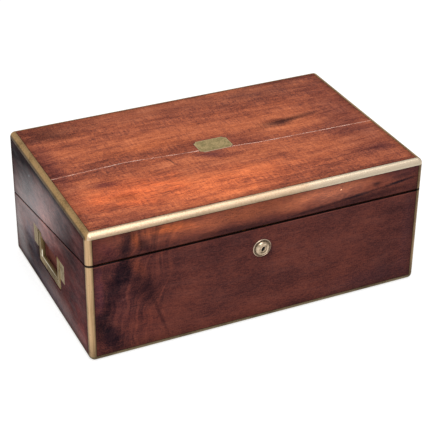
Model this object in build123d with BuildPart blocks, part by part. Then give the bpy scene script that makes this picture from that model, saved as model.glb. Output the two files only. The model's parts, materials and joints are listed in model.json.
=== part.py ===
"""A brass-bound mahogany writing box, shut, in millimetres.

X runs to the right, Y to the back and Z up. The origin is the middle of the underside. The box is
glued up shut, sawn in two along a slanting line and hinged at the back, at half its height, so that
it opens flat into one sloping surface to write on.
"""
import math
import os

from build123d import *

# Carcase
width = 460.0
depth = 291.0
height = 182.0
wall = 12.0
band = 7.5
hinge_height = 91.0
front_rim = 138.4
parting_gap = 1.8
rim_ease = 0.7
edge_play = 0.01
mitre_joint = 0.05

# Butt hinges of the lid
hinge_offset = 0.5
hinge_length = 50.0
hinge_screw_pitch = 16.6
hinge_spacing = 270.0
hinge_reach = 10.5
hinge_leaf = 1.6
hinge_barrel = 2.6
hinge_pin = 1.1
hinge_knuckles = 5
running_gap = 0.06
knuckle_gap = 0.25
barrel_clearance = 0.35

# Lock and its plates
key_drop = 31.0
key_lean = 29.0
flange_radius = 12.5
flange_height = 1.3
flange_rim = 0.9
flange_groove = 0.7
nozzle_tube = 7.5
nozzle_radius = 9.9
nozzle_height = 4.0
nozzle_dome = 3.7
plug_radius = 5.2
plug_sink = 0.5
keyhole_bow = 1.8
keyhole_slot = 2.3
keyhole_length = 5.6
keyhole_rise = 1.8
keyhole_depth = 7.0
lock_cover = 3.0
case_width = 62.0
case_skin = 1.2
case_below_key = 10.0
selvedge_length = 78.0
selvedge = 1.6
hook_inset = 3.6
hook_lead = 9.0
hook_length = 12.0
hook_shank = 5.0
hook_beak = 4.5
hook_beak_height = 3.0
hook_thickness = 2.0
hook_pitch = 30.0
hook_clearance = 0.6
crank_radius = 3.0
crank_rest = 45.0
crank_pin = 1.0
crank_clearance = 0.3
bolt_thickness = 2.5
bolt_finger = 4.0
bolt_web = 5.6
bolt_tail = 9.0

# Name plate
plate_length = 47.0
plate_width = 31.0
plate_thickness = 1.6
plate_notch = 4.2
inlay_gap = 0.2

# Flush handles
bail_thickness = 4.5
bail_width = 84.0
bail_arm = 13.5
bail_bar = 13.0
bail_corner = 5.0
bail_edge = 3.4
handle_top = 88.5
bail_bottom = 41.0
ear_width = 16.0
ear_height = 27.0
ear_screw_rise = 6.75
handle_gap = 0.4
handle_pin = 1.3
handle_pin_bite = 8.0
scoop_depth = 8.0
scoop_margin = 4.5
scoop_foot = 6.0

# Writing flaps
flap_thickness = 5.0
flap_sink = 0.75
flap_play = 0.6
rail_width = 14.0
rail_thickness = 9.0
bearer_width = 7.0
bearer_height = 8.0
bearer_gap = 0.1
leather_border = 14.0
leather_thickness = 0.8
flap_hinge_length = 24.0
flap_hinge_spacing = 300.0
flap_hinge_reach = 9.0
flap_hinge_leaf = 0.9
flap_hinge_barrel = 1.4
flap_hinge_pin = 0.6
flap_axis_drop = 0.65

# Pen section behind the lock
pen_section = 62.0
partition = 6.0
shelf_drop = 52.0
shelf_thickness = 5.0
ink_bay = 46.0
divider = 5.0
divider_drop = 3.0
tray_drop = 5.0
tray_depth = 20.0
tray_play = 0.5
tray_edge = 5.0
bottle_side = 38.0
bottle_height = 36.0
bottle_chamfer = 3.0
bottle_bore = 11.0
bottle_base = 7.0
bottle_neck = 13.5
neck_height = 5.0
cap_radius = 16.0
cap_height = 6.0
cap_round = 2.0

# Screws
screw_head = 2.4
screw_shank = 1.2
screw_length = 8.0
screw_slot = 0.6
pilot_gap = 0.02

os.makedirs("parts", exist_ok=True)

half_width = width / 2
half_depth = depth / 2
inner_width = width - 2 * wall
inner_depth = depth - 2 * wall
hinge_y = half_depth + hinge_offset
slope_angle = math.atan2(front_rim - hinge_height, depth + hinge_offset)
slope_fall = math.tan(slope_angle)
slope_up = (0, math.sin(slope_angle), math.cos(slope_angle))
parting = Plane(origin=(0, hinge_y, hinge_height), x_dir=(1, 0, 0), z_dir=slope_up)
base_rim = parting.offset(-parting_gap / 2)
lid_rim = parting.offset(parting_gap / 2)
floor = (Align.CENTER, Align.CENTER, Align.MIN)


def parting_height(y):
    """Height of the sawn line above the underside, at a distance from front to back."""
    return hinge_height + slope_fall * (hinge_y - y)


def finish(piece, name):
    """Name a finished piece and write it."""
    piece.part.label = name
    export_step(piece.part, f"parts/{name}.step")


def side_bar(turn, run, reach, inset, low, high, joint=0):
    """One side of the closed box as a bar, mitred in plan at both ends, with an open joint if any."""
    run = run - 2 * joint
    with BuildPart() as bar:
        with BuildSketch(Plane.XY.offset(low).rotated((0, 0, turn))):
            with BuildLine():
                Polyline(
                    (-run / 2, -reach),
                    (run / 2, -reach),
                    (run / 2 - inset, inset - reach),
                    (inset - run / 2, inset - reach),
                    close=True,
                )
            make_face()
        extrude(amount=high - low)
    return bar.part


sides = {
    "front": (0, width, half_depth),
    "right": (90, depth, half_width),
    "back": (180, width, half_depth),
    "left": (270, depth, half_width),
}
corners = {
    "front_left": (-1, -1),
    "front_right": (1, -1),
    "back_left": (-1, 1),
    "back_right": (1, 1),
}

# A countersunk brass wood screw, head flush at the origin and point down
with BuildPart() as screw:
    with BuildSketch(Plane.XZ):
        with BuildLine():
            Polyline(
                (0, 0),
                (screw_head, 0),
                (screw_shank, screw_shank - screw_head),
                (screw_shank, screw_shank - screw_length),
                (0, -screw_length),
                close=True,
            )
        make_face()
    revolve(axis=Axis.Z)
    with Locations((0, 0, 0)):
        Box(2 * screw_head + screw_slot, screw_slot, screw_slot, mode=Mode.SUBTRACT)

# The hole that such a screw fills
with BuildPart() as pilot:
    with BuildSketch(Plane.XZ):
        with BuildLine():
            Polyline(
                (0, pilot_gap),
                (screw_head + pilot_gap, pilot_gap),
                (screw_head + pilot_gap, 0),
                (screw_shank + pilot_gap, screw_shank - screw_head),
                (screw_shank + pilot_gap, screw_shank - screw_length),
                (0, -screw_length - pilot_gap),
                close=True,
            )
        make_face()
    revolve(axis=Axis.Z)


def butt_leaf(section, centres, length, reach, near, far, barrel, knuckles, bore=0, pin=0):
    """Hinge leaves about one axis: a plate, the knuckles that this leaf owns, and its own pin.

    The section plane stands across the axis, its x along the leaf and its y through the leaf.
    """
    pitch = length / len(knuckles)
    clear = barrel + barrel_clearance
    with BuildPart() as leaf:
        for centre in centres:
            start = section.offset(centre - length / 2)
            with BuildSketch(start):
                with Locations(((clear + reach) / 2, (near + far) / 2)):
                    Rectangle(reach - clear, far - near)
            extrude(amount=length)
            for index, owned in enumerate(knuckles):
                if not owned:
                    continue
                with BuildSketch(start.offset(index * pitch + knuckle_gap / 2)):
                    Circle(barrel)
                    with Locations((clear / 2, (near + far) / 2)):
                        Rectangle(clear, far - near)
                    if bore:
                        Circle(bore, mode=Mode.SUBTRACT)
                extrude(amount=pitch - knuckle_gap)
            if pin:
                with BuildSketch(start.offset(knuckle_gap / 2)):
                    Circle(pin)
                extrude(amount=length - knuckle_gap)
    return leaf.part


def hinge_cuts(section, centres, length, reach, near, far, barrel):
    """The bed of a leaf and the hollow round its knuckles, as one tool."""
    with BuildPart() as tool:
        for centre in centres:
            with BuildSketch(section.offset(centre - length / 2 - knuckle_gap)):
                with Locations(((reach + knuckle_gap) / 2, (near + far) / 2)):
                    Rectangle(reach + knuckle_gap, far - near)
                Circle(barrel + barrel_clearance)
            extrude(amount=length + 2 * knuckle_gap)
    return tool.part


# Main hinge: sections look along the axis, x forwards down the leaf and y into the base
forward = (0, -math.cos(slope_angle), math.sin(slope_angle))
backward = (0, math.cos(slope_angle), -math.sin(slope_angle))
hinge_section = Plane(origin=(0, hinge_y, hinge_height), x_dir=forward, z_dir=(1, 0, 0))
hinge_centres = (-hinge_spacing / 2, hinge_spacing / 2)
leaf_near = parting_gap / 2
leaf_far = parting_gap / 2 + hinge_leaf
base_knuckles = [index % 2 == 0 for index in range(hinge_knuckles)]
lid_knuckles = [index % 2 == 1 for index in range(hinge_knuckles)]
base_hinge_cut = hinge_cuts(
    hinge_section, hinge_centres, hinge_length, hinge_reach, 0, leaf_far, hinge_barrel
)
lid_hinge_cut = hinge_cuts(
    hinge_section, hinge_centres, hinge_length, hinge_reach, -leaf_far, 0, hinge_barrel
)

# Screw seats: three to a leaf, in line along it
leaf_middle = (hinge_reach + hinge_barrel + barrel_clearance) / 2
leaf_screws = [
    (centre + step * hinge_screw_pitch, -leaf_middle)
    for centre in hinge_centres
    for step in (-1, 0, 1)
]
base_leaf_seats = [base_rim * Location((x, y, 0)) for x, y in leaf_screws]
lid_leaf_seats = [lid_rim * Location((x, y, 0), (180, 0, 0)) for x, y in leaf_screws]

# Lock: the case stands in the front board, and the hooks hang square to the rim
key_height = front_rim - key_drop
case_front = lock_cover - half_depth
case_back = wall - half_depth
case_low = key_height - case_below_key
cavity_front = case_front + case_skin
cavity_back = case_back - case_skin
crank_face = cavity_front + case_skin
bolt_front = crank_face + crank_clearance
bolt_back = bolt_front + bolt_thickness
hook_y = case_back - hook_inset
hook_tip = parting_height(hook_y) - (parting_gap / 2 + hook_length) * math.cos(slope_angle)
beak_top = hook_tip + hook_beak_height
hook_starts = (-hook_pitch / 2 - hook_lead, hook_pitch / 2 - hook_lead)
web_top = hook_tip - hook_clearance
web_low = web_top - bolt_web
crank_throw = crank_radius * math.sin(math.radians(crank_rest))
crank_rise = crank_radius * math.cos(math.radians(crank_rest))
bolt_travel = 2 * crank_throw
selvedge_y = (case_front + case_back) / 2
selvedge_v = (selvedge_y - hinge_y) / math.cos(slope_angle)
hook_v = (hook_y - hinge_y) / math.cos(slope_angle)
strip_screws = (-(case_width + selvedge_length) / 4, (case_width + selvedge_length) / 4)
selvedge_seats = [base_rim * Location((x, selvedge_v, 0)) for x in strip_screws]
link_seats = [lid_rim * Location((x, selvedge_v, 0), (180, 0, 0)) for x in strip_screws]
key_axis = Axis((0, -half_depth, key_height), (0, -1, 0))
front_face = Plane.XZ.offset(half_depth)


def rim_strip(rim, direction):
    """The strip of brass let into a rim over the lock, as wide as the lock is thick."""
    with BuildPart() as strip:
        with BuildSketch(rim):
            with Locations((0, selvedge_v)):
                Rectangle(selvedge_length, (case_back - case_front) / math.cos(slope_angle))
        extrude(amount=direction * selvedge)
    return strip.part


selvedge_strip = rim_strip(base_rim, -1)
link_strip = rim_strip(lid_rim, 1)

# The mortise for the lock, with the bed of its strip and the hole for the nozzle
with BuildPart() as lock_mortise:
    with Locations((0, case_back, case_low)):
        Box(case_width, case_back - case_front, height, align=(Align.CENTER, Align.MAX, Align.MIN))
    add(selvedge_strip)
    with BuildSketch(front_face):
        with Locations((0, key_height)):
            Circle(nozzle_tube)
    extrude(amount=-lock_cover)

# Handles: levels on the side boards
ear_inner = bail_width / 2 + handle_gap
ear_middle = ear_inner + ear_width / 2
pivot_height = handle_top - bail_thickness / 2
pivot_inset = bail_thickness / 2
bail_inner = bail_width / 2 - bail_arm
scoop_low = bail_bottom + bail_bar - scoop_foot
scoop_top = handle_top - scoop_margin
ear_level = handle_top - ear_height / 2


def bail_outline(face, grow):
    """The flat U of a bail, rounded at its foot, or the channel that holds it."""
    with BuildSketch(face) as outline:
        with Locations((0, bail_bottom - grow)):
            RectangleRounded(
                bail_width + 2 * grow, height, bail_corner + grow, align=(Align.CENTER, Align.MIN)
            )
        with Locations((0, handle_top + grow)):
            Rectangle(width, height, align=(Align.CENTER, Align.MIN), mode=Mode.SUBTRACT)
        with Locations((0, bail_bottom + bail_bar + grow)):
            Rectangle(
                2 * (bail_inner - grow), height, align=(Align.CENTER, Align.MIN), mode=Mode.SUBTRACT
            )
    return outline.sketch


def handle_cut(side):
    """The seats of the ears, the channel of the bail and the scoop for the fingers."""
    face = Plane(origin=(side * half_width, 0, 0), x_dir=(0, side, 0), z_dir=(side, 0, 0))
    with BuildPart() as tool:
        with BuildSketch(face):
            with Locations((-ear_middle, ear_level), (ear_middle, ear_level)):
                Rectangle(ear_width, ear_height)
        extrude(amount=-bail_thickness)
        extrude(bail_outline(face, handle_gap), amount=-bail_thickness - handle_gap)
        with BuildSketch(Plane.XZ.offset(-bail_inner)):
            with BuildLine():
                outer = side * half_width
                inner = side * (half_width - scoop_depth)
                Line((outer, scoop_low), (outer, scoop_top))
                TangentArc((inner, scoop_low + scoop_depth), (outer, scoop_top), tangent=(0, 1))
                Line((inner, scoop_low + scoop_depth), (inner, scoop_low))
                Line((inner, scoop_low), (outer, scoop_low))
            make_face()
        extrude(amount=2 * bail_inner)
    return tool.part


def ear_seats(side):
    """Where the two screws of each ear go, heads outwards."""
    turn = (0, side * 90, 0)
    return [
        Location((side * half_width, end * ear_middle, ear_level + rise), turn)
        for end in (-1, 1)
        for rise in (-ear_screw_rise, ear_screw_rise)
    ]


# The closed carcase, rebated along every edge for the brass
with BuildPart() as carcase:
    Box(width, depth, height, align=floor)
    with Locations((0, 0, band)):
        Box(inner_width, inner_depth, height - 2 * band, align=floor, mode=Mode.SUBTRACT)
    with GridLocations(width, depth, 2, 2):
        Box(2 * band, 2 * band, height, align=floor, mode=Mode.SUBTRACT)
    with Locations((0, 0, 0), (0, 0, height)):
        with GridLocations(width, depth, 1, 2):
            Box(width, 2 * band, 2 * band, mode=Mode.SUBTRACT)
        with GridLocations(width, depth, 2, 1):
            Box(2 * band, depth, 2 * band, mode=Mode.SUBTRACT)

# Its rounded outside, which the brass bars are cut to
with BuildPart() as rounded_box:
    Box(width, depth, height, align=floor)
    fillet(rounded_box.edges(), radius=band - edge_play)

cuts_by_side = {
    ("base", "front"): [lock_mortise.part],
    ("lid", "front"): [link_strip],
    ("base", "back"): [base_hinge_cut],
    ("lid", "back"): [lid_hinge_cut],
    ("base", "left"): [handle_cut(-1)],
    ("base", "right"): [handle_cut(1)],
}
seats_by_side = {
    ("base", "front"): selvedge_seats,
    ("lid", "front"): link_seats,
    ("base", "back"): base_leaf_seats,
    ("lid", "back"): lid_leaf_seats,
    ("base", "left"): ear_seats(-1),
    ("base", "right"): ear_seats(1),
}


def outer_rim(edges, rim, turn, reach):
    """The edges of a board that lie on the sawn plane and on its outer face."""
    outward = Vector(0, -1, 0).rotate(Axis.Z, turn)
    return edges.filter_by(
        lambda edge: abs(rim.to_local_coords(edge @ 0.5).Z) < edge_play
        and abs((edge @ 0.5).dot(outward) - reach) < edge_play
    )


# Walls: mitred boards, sawn along the parting line, the sawn edges eased outside
for half, rim, keep in (("base", base_rim, Keep.BOTTOM), ("lid", lid_rim, Keep.TOP)):
    for side_name, (turn, run, reach) in sides.items():
        with BuildPart() as board:
            add(carcase.part)
            add(side_bar(turn, run, reach, wall, band, height - band), mode=Mode.INTERSECT)
            split(bisect_by=rim, keep=keep)
            chamfer(outer_rim(board.edges(), rim, turn, reach), rim_ease)
            for tool in cuts_by_side.get((half, side_name), []):
                add(tool, mode=Mode.SUBTRACT)
            with Locations(*seats_by_side.get((half, side_name), [])):
                add(pilot.part, mode=Mode.SUBTRACT)
        finish(board, f"{half}_{side_name}")

# Top and bottom boards, flush within the bands
with BuildPart() as base_bottom:
    add(carcase.part)
    Box(width, depth, band, align=floor, mode=Mode.INTERSECT)
finish(base_bottom, "base_bottom")


def plate_outline(grow):
    """A name plate's outline: a rectangle whose corners are scooped out."""
    with BuildSketch(Plane.XY.offset(height)) as outline:
        Rectangle(plate_length + 2 * grow, plate_width + 2 * grow)
        with GridLocations(plate_length + 2 * grow, plate_width + 2 * grow, 2, 2):
            Circle(plate_notch, mode=Mode.SUBTRACT)
    return outline.sketch


with BuildPart() as lid_top:
    add(carcase.part)
    with Locations((0, 0, height)):
        Box(width, depth, band, align=(Align.CENTER, Align.CENTER, Align.MAX), mode=Mode.INTERSECT)
    extrude(plate_outline(inlay_gap), amount=-plate_thickness, mode=Mode.SUBTRACT)
finish(lid_top, "lid_top")

with BuildPart() as name_plate:
    extrude(plate_outline(0), amount=-plate_thickness)
finish(name_plate, "name_plate")

# Brass round the top edges, in four bars mitred at the rounded corners
for side_name, (turn, run, reach) in sides.items():
    with BuildPart() as top_band:
        add(rounded_box.part)
        add(side_bar(turn, run, reach, band, height - band, height), mode=Mode.INTERSECT)
    finish(top_band, f"lid_band_{side_name}")

# The same round the foot, as one set of four bars
with BuildPart() as base_foot_bands:
    for turn, run, reach in sides.values():
        with BuildPart(mode=Mode.PRIVATE) as foot_band:
            add(rounded_box.part)
            add(side_bar(turn, run, reach, band, 0, band, mitre_joint), mode=Mode.INTERSECT)
        add(foot_band.part)
finish(base_foot_bands, "base_foot_bands")

# Brass down the corners, sawn through with the box
for corner_name, (right, back) in corners.items():
    for half, rim, keep in (("base", base_rim, Keep.BOTTOM), ("lid", lid_rim, Keep.TOP)):
        with BuildPart() as corner_band:
            add(rounded_box.part)
            with Locations((right * half_width, back * half_depth, band)):
                Box(2 * band, 2 * band, height - 2 * band, align=floor, mode=Mode.INTERSECT)
            split(bisect_by=rim, keep=keep)
        finish(corner_band, f"{half}_corner_{corner_name}")

# Lock case: a brass tray let into the inside of the front board, with its strip across the rim
ledge_inner = bolt_tail / 2 + crank_throw + crank_clearance
ledge_outer = case_width / 2 - case_skin
with BuildPart() as lock_case:
    with Locations((0, case_back, case_low)):
        Box(case_width, case_back - case_front, height, align=(Align.CENTER, Align.MAX, Align.MIN))
    with Locations((0, cavity_back, case_low + case_skin)):
        Box(
            case_width - 2 * case_skin,
            cavity_back - cavity_front,
            height,
            align=(Align.CENTER, Align.MAX, Align.MIN),
            mode=Mode.SUBTRACT,
        )
    split(bisect_by=base_rim.offset(-selvedge), keep=Keep.BOTTOM)
    add(selvedge_strip)
    with BuildSketch(Plane.XZ.offset(-cavity_back)):
        with Locations(
            (-(ledge_inner + ledge_outer) / 2, web_low - crank_clearance),
            ((ledge_inner + ledge_outer) / 2, web_low - crank_clearance),
        ):
            Rectangle(ledge_outer - ledge_inner, case_skin, align=(Align.CENTER, Align.MAX))
    extrude(amount=cavity_back - bolt_front)
    with BuildSketch(base_rim):
        for start in hook_starts:
            with Locations((start - hook_clearance, hook_v)):
                Rectangle(
                    hook_shank + hook_beak + 2 * hook_clearance,
                    hook_thickness + 2 * hook_clearance,
                    align=(Align.MIN, Align.CENTER),
                )
    extrude(amount=-2 * selvedge, mode=Mode.SUBTRACT)
    with BuildSketch(front_face):
        with Locations((0, key_height)):
            Circle(plug_radius + running_gap)
    extrude(amount=-lock_cover - case_skin, mode=Mode.SUBTRACT)
    with Locations(*selvedge_seats):
        add(pilot.part, mode=Mode.SUBTRACT)
finish(lock_case, "lock_case")

# Escutcheon: a turned flange and domed nozzle, with a tube through the board
nozzle_bore = plug_radius + running_gap
groove_floor = flange_height - flange_groove
with BuildPart() as escutcheon:
    with BuildSketch(Plane(origin=key_axis.position, x_dir=(1, 0, 0), z_dir=(0, 0, -1))):
        with BuildLine():
            Polyline(
                (nozzle_radius, groove_floor),
                (flange_radius - flange_rim - flange_groove, groove_floor),
                (flange_radius - flange_rim, flange_height),
                (flange_radius, flange_height / 2),
                (flange_radius, 0),
                (nozzle_tube, 0),
                (nozzle_tube, -lock_cover),
                (nozzle_bore, -lock_cover),
                (nozzle_bore, nozzle_height - running_gap),
                (nozzle_tube, nozzle_height),
            )
            RadiusArc((nozzle_tube, nozzle_height), (nozzle_radius, groove_floor), nozzle_dome)
        make_face()
    revolve(axis=key_axis)
finish(escutcheon, "escutcheon")

# Plug: turned brass, with a keyhole in its face and a crank pin behind
key_lean_angle = math.radians(key_lean)
plug_front = front_face.offset(nozzle_height - plug_sink)
with BuildPart() as lock_plug:
    with BuildSketch(plug_front):
        with Locations((0, key_height)):
            Circle(plug_radius)
    extrude(amount=-(crank_face + half_depth + nozzle_height - plug_sink))
    chamfer(lock_plug.edges().filter_by(GeomType.CIRCLE).sort_by(Axis.Y)[0], plug_sink)
    with BuildSketch(
        Plane(
            origin=(0, plug_front.origin.Y, key_height),
            x_dir=(math.cos(key_lean_angle), 0, -math.sin(key_lean_angle)),
            z_dir=(0, -1, 0),
        )
    ):
        with Locations((0, keyhole_rise)):
            Circle(keyhole_bow)
        with Locations((0, keyhole_rise - keyhole_length / 2)):
            SlotOverall(keyhole_length, keyhole_slot, rotation=90)
    extrude(amount=-keyhole_depth, mode=Mode.SUBTRACT)
    with BuildSketch(Plane.XZ.offset(-crank_face)):
        with Locations((crank_throw, key_height + crank_rise)):
            Circle(crank_pin)
    extrude(amount=-(bolt_back - crank_face + crank_clearance))
finish(lock_plug, "lock_plug")

# Bolt: a sawn brass plate with a finger for each hook and a forked tail for the crank pin
finger_starts = [start + hook_shank + hook_beak + hook_clearance for start in hook_starts]
finger_low = beak_top + hook_clearance
with BuildPart() as lock_bolt:
    with BuildSketch(Plane.XZ.offset(-bolt_front)):
        bolt_right = finger_starts[1] + bolt_travel + bolt_finger
        with Locations((hook_starts[0], web_low)):
            Rectangle(bolt_right - hook_starts[0], bolt_web, align=(Align.MIN, Align.MIN))
        for start in finger_starts:
            with Locations((start + bolt_travel, web_low)):
                Rectangle(
                    bolt_finger, finger_low + bolt_finger - web_low, align=(Align.MIN, Align.MIN)
                )
            with Locations((start, finger_low)):
                Rectangle(bolt_travel + bolt_finger, bolt_finger, align=(Align.MIN, Align.MIN))
        with Locations((crank_throw, web_low)):
            Rectangle(bolt_tail, web_low - key_height - crank_pin, align=(Align.CENTER, Align.MAX))
        with Locations((crank_throw, key_height)):
            Rectangle(
                2 * (crank_pin + crank_clearance),
                crank_radius + crank_pin + crank_clearance,
                align=(Align.CENTER, Align.MIN),
                mode=Mode.SUBTRACT,
            )
    extrude(amount=-bolt_thickness)
finish(lock_bolt, "lock_bolt")

# Link plate in the lid: its strip and the two hooks that hang into the lock
with BuildPart() as link_plate:
    add(link_strip)
    with BuildSketch(
        Plane(
            origin=(0, hook_y, parting_height(hook_y)),
            x_dir=(1, 0, 0),
            z_dir=(0, -math.cos(slope_angle), math.sin(slope_angle)),
        )
    ):
        reach = parting_gap / 2 + hook_length
        for start in hook_starts:
            with Locations((start, -reach)):
                Rectangle(hook_shank, reach + parting_gap, align=(Align.MIN, Align.MIN))
                Rectangle(hook_shank + hook_beak, hook_beak_height, align=(Align.MIN, Align.MIN))
    extrude(amount=hook_thickness / 2, both=True)
    with Locations(*link_seats):
        add(pilot.part, mode=Mode.SUBTRACT)
finish(link_plate, "link_plate")

# Hinges of the lid
base_bore = hinge_pin + pilot_gap
lid_bore = hinge_pin + running_gap
for half, near, far, knuckles, bore, seats in (
    ("base", leaf_near, leaf_far, base_knuckles, base_bore, base_leaf_seats),
    ("lid", -leaf_far, -leaf_near, lid_knuckles, lid_bore, lid_leaf_seats),
):
    with BuildPart() as hinge_leaves:
        add(
            butt_leaf(
                hinge_section,
                hinge_centres,
                hinge_length,
                hinge_reach,
                near,
                far,
                hinge_barrel,
                knuckles,
                bore=bore,
            )
        )
        with Locations(*seats):
            add(pilot.part, mode=Mode.SUBTRACT)
    finish(hinge_leaves, f"{half}_hinge_leaves")

with BuildPart() as hinge_pins:
    for centre in hinge_centres:
        with BuildSketch(hinge_section.offset(centre - hinge_length / 2)):
            Circle(hinge_pin)
        extrude(amount=hinge_length)
finish(hinge_pins, "hinge_pins")

# Handles: a flat bail in its channel, two ears beside its arms and a pin through each
for side, side_name in ((-1, "left"), (1, "right")):
    face = Plane(origin=(side * half_width, 0, 0), x_dir=(0, side, 0), z_dir=(side, 0, 0))
    pin_x = side * (half_width - pivot_inset)
    with BuildPart() as handle:
        extrude(bail_outline(face, 0), amount=-bail_thickness)
        outer_face = handle.faces().filter_by(Axis.X).sort_by(Axis.X)[0 if side < 0 else -1]
        fillet(outer_face.edges(), radius=bail_edge)
        with BuildSketch(Plane.XZ.offset(-half_depth)):
            with Locations((pin_x, pivot_height)):
                Circle(bail_thickness / 2)
            with Locations((pin_x, pivot_height)):
                Rectangle(bail_thickness, height, align=(Align.CENTER, Align.MAX))
        extrude(amount=depth, mode=Mode.INTERSECT)
        with BuildSketch(Plane.XZ.offset(-half_depth)):
            with Locations((pin_x, pivot_height)):
                Circle(handle_pin + running_gap)
        extrude(amount=depth, mode=Mode.SUBTRACT)
    finish(handle, f"handle_{side_name}")
    with BuildPart() as handle_ears:
        with BuildSketch(face):
            with Locations((-ear_middle, ear_level), (ear_middle, ear_level)):
                Rectangle(ear_width, ear_height)
        extrude(amount=-bail_thickness)
        for end in (-1, 1):
            with BuildSketch(Plane.XZ.offset(-end * ear_inner)):
                with Locations((pin_x, pivot_height)):
                    Circle(handle_pin + pilot_gap)
            extrude(amount=-end * handle_pin_bite, mode=Mode.SUBTRACT)
        with Locations(*ear_seats(side)):
            add(pilot.part, mode=Mode.SUBTRACT)
    finish(handle_ears, f"handle_ears_{side_name}")

with BuildPart() as handle_pins:
    for side in (-1, 1):
        for end in (-1, 1):
            with BuildSketch(Plane.XZ.offset(-end * (ear_inner + handle_pin_bite))):
                with Locations((side * (half_width - pivot_inset), pivot_height)):
                    Circle(handle_pin)
            extrude(amount=end * (handle_pin_bite + handle_gap + bail_arm))
finish(handle_pins, "handle_pins")

# Screws, one set to each fitting
for set_name, seats in (
    ("base_hinge_screws", base_leaf_seats),
    ("lid_hinge_screws", lid_leaf_seats),
    ("handle_screws", ear_seats(-1) + ear_seats(1)),
    ("lock_screws", selvedge_seats),
    ("link_screws", link_seats),
):
    with BuildPart() as screws:
        with Locations(*seats):
            add(screw.part)
    finish(screws, set_name)

# Writing flaps: levels are measured from the parting line, down into the base or up into the lid
flap_face = parting_gap / 2 + flap_sink
flap_axis_depth = flap_face + flap_axis_drop
rail_edge = half_depth - wall - rail_width
flap_axis_y = rail_edge - flap_play
axis_v = (flap_axis_y - hinge_y) / math.cos(slope_angle)
rail_v = (rail_edge - hinge_y) / math.cos(slope_angle)
flap_half_width = inner_width / 2 - flap_play
partition_front = wall + pen_section - half_depth
partition_back = partition_front + partition
flap_centres = (-flap_hinge_spacing / 2, flap_hinge_spacing / 2)
leaf_levels = (flap_axis_drop - flap_hinge_leaf, flap_axis_drop)

with BuildPart() as inside:
    with Locations((0, 0, band)):
        Box(inner_width, inner_depth, height - 2 * band, align=floor)

for half, up, free_y in (
    ("base", -1, partition_front + flap_play + flap_thickness * math.sin(slope_angle)),
    ("lid", 1, wall - half_depth + flap_play),
):
    face_plane = parting.offset(up * flap_face)
    under_plane = parting.offset(up * (flap_face + flap_thickness + bearer_gap))
    free_v = (free_y - hinge_y) / math.cos(slope_angle)
    axis_point = (
        0,
        flap_axis_y + up * flap_axis_depth * math.sin(slope_angle),
        parting_height(flap_axis_y) + up * flap_axis_depth * math.cos(slope_angle),
    )
    flap_section = Plane(origin=axis_point, x_dir=forward, z_dir=(1, 0, 0))
    rail_section = Plane(origin=axis_point, x_dir=backward, z_dir=(1, 0, 0))
    flap_near, flap_far = sorted(up * level for level in leaf_levels)
    rail_near, rail_far = sorted(-up * level for level in leaf_levels)
    hinge_sizes = (flap_hinge_length, flap_hinge_reach)

    with BuildPart() as flap:
        with BuildSketch(face_plane):
            with Locations((0, (free_v + axis_v - flap_play) / 2)):
                Rectangle(2 * flap_half_width, axis_v - flap_play - free_v)
        extrude(amount=up * flap_thickness)
        with BuildSketch(face_plane):
            with Locations((0, (free_v + axis_v - flap_play) / 2)):
                Rectangle(
                    2 * (flap_half_width - leather_border),
                    axis_v - flap_play - free_v - 2 * leather_border,
                )
        extrude(amount=up * leather_thickness, mode=Mode.SUBTRACT)
        add(
            hinge_cuts(
                flap_section, flap_centres, *hinge_sizes, flap_near, flap_far, flap_hinge_barrel
            ),
            mode=Mode.SUBTRACT,
        )
    finish(flap, f"{half}_flap")

    with BuildPart() as flap_leather:
        with BuildSketch(face_plane):
            with Locations((0, (free_v + axis_v - flap_play) / 2)):
                Rectangle(
                    2 * (flap_half_width - leather_border),
                    axis_v - flap_play - free_v - 2 * leather_border,
                )
        extrude(amount=up * leather_thickness)
    finish(flap_leather, f"{half}_flap_leather")

    with BuildPart() as flap_leaves:
        add(
            butt_leaf(
                flap_section,
                flap_centres,
                *hinge_sizes,
                flap_near,
                flap_far,
                flap_hinge_barrel,
                (False, True, False),
                bore=flap_hinge_pin + running_gap,
            )
        )
    finish(flap_leaves, f"{half}_flap_leaves")

    with BuildPart() as rail_leaves:
        add(
            butt_leaf(
                rail_section,
                flap_centres,
                *hinge_sizes,
                rail_near,
                rail_far,
                flap_hinge_barrel,
                (True, False, True),
                pin=flap_hinge_pin,
            )
        )
    finish(rail_leaves, f"{half}_rail_leaves")

    with BuildPart() as flap_rail:
        with BuildSketch(face_plane):
            with Locations((0, rail_v)):
                Rectangle(inner_width, 2 * rail_width, align=(Align.CENTER, Align.MIN))
        extrude(amount=up * rail_thickness)
        add(inside.part, mode=Mode.INTERSECT)
        add(
            hinge_cuts(
                rail_section, flap_centres, *hinge_sizes, rail_near, rail_far, flap_hinge_barrel
            ),
            mode=Mode.SUBTRACT,
        )
    finish(flap_rail, f"{half}_flap_rail")

    with BuildPart() as flap_bearers:
        with BuildSketch(under_plane):
            for right in (-1, 1):
                with Locations((right * (inner_width - bearer_width) / 2, (free_v + rail_v) / 2)):
                    Rectangle(bearer_width, rail_v - free_v)
            if half == "lid":
                with Locations((0, free_v - flap_play)):
                    Rectangle(
                        inner_width - 2 * bearer_width - 2 * mitre_joint,
                        bearer_width + flap_play,
                        align=(Align.CENTER, Align.MIN),
                    )
        extrude(amount=up * bearer_height)
        add(inside.part, mode=Mode.INTERSECT)
        if half == "base":
            with Locations((0, partition_back, 0)):
                Box(
                    width, depth, height, align=(Align.CENTER, Align.MIN, Align.MIN), mode=Mode.INTERSECT
                )
    finish(flap_bearers, f"{half}_flap_bearers")

# Pen section: a shelf and a partition, two dividers with cleats, the lift-out tray and two bottles
flap_under = parting.offset(-flap_face - flap_thickness - bearer_gap)
shelf_top = parting_height(partition_front) - shelf_drop
bay_middle = (wall - half_depth + partition_front) / 2
divider_x = inner_width / 2 - ink_bay - divider / 2
tray_top = parting_height(partition_front) - tray_drop
tray_bottom = tray_top - tray_depth

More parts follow.
